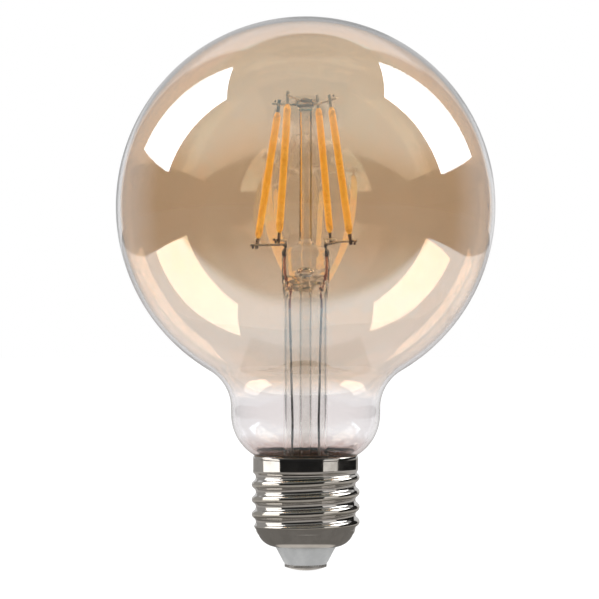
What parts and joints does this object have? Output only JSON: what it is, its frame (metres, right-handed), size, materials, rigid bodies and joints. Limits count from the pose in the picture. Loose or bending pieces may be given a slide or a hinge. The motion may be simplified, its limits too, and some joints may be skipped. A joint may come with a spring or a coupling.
{
  "type": "globe bulb",
  "caption": "Clear amber globe bulb with light strips on a glass stem and a screw cap with a centre contact.",
  "frame": {"origin": "lowest point of the centre contact, on the axis of the bulb, where the cap meets its holder", "axes": "+Z along the axis from the cap to the globe, -Y to the viewer of the picture, +X to the right"},
  "size_m": [0.093, 0.093, 0.1353],
  "materials": {
    "amber_glass": "gloss",
    "stem_glass": "gloss",
    "strip_coating": "satin",
    "tab_metal": "satin",
    "support_wire": "satin",
    "lead_metal": "satin",
    "copper_wire": "satin",
    "cap_metal": "gloss",
    "contact_metal": "satin",
    "cement": "matte",
    "insulator": "matte",
    "board": "satin",
    "component_case": "matte",
    "capacitor_can": "satin",
    "resistor_body": "satin"
  },
  "bodies": {
    "root": {"glass_globe": "amber_glass", "screw_shell": "cap_metal", "centre_contact": "contact_metal", "capping_cement": "cement", "cap_insulator": "insulator", "driver_board": "board", "fuse_resistor": "resistor_body", "smoothing_capacitor": "capacitor_can", "bridge_rectifier": "component_case", "driver_chip": "component_case", "chip_resistor_1": "component_case", "chip_resistor_2": "component_case", "neutral_wire": "lead_metal", "outer_lead_left": "lead_metal", "outer_lead_right": "lead_metal", "seal_wire_left": "copper_wire", "seal_wire_right": "copper_wire", "stem_tube": "stem_glass", "exhaust_tube": "stem_glass", "centre_rod": "stem_glass", "filament_1": "strip_coating", "filament_2": "strip_coating", "filament_3": "strip_coating", "filament_4": "strip_coating", "filament_1_bottom_tab": "tab_metal", "filament_1_top_tab": "tab_metal", "filament_2_bottom_tab": "tab_metal", "filament_2_top_tab": "tab_metal", "filament_3_bottom_tab": "tab_metal", "filament_3_top_tab": "tab_metal", "filament_4_bottom_tab": "tab_metal", "filament_4_top_tab": "tab_metal", "top_support_wire_a": "support_wire", "top_support_wire_b": "support_wire", "lead_left_long": "support_wire", "lead_left_short": "support_wire", "lead_right_long": "support_wire", "lead_right_short": "support_wire"}
  },
  "joints": []
}
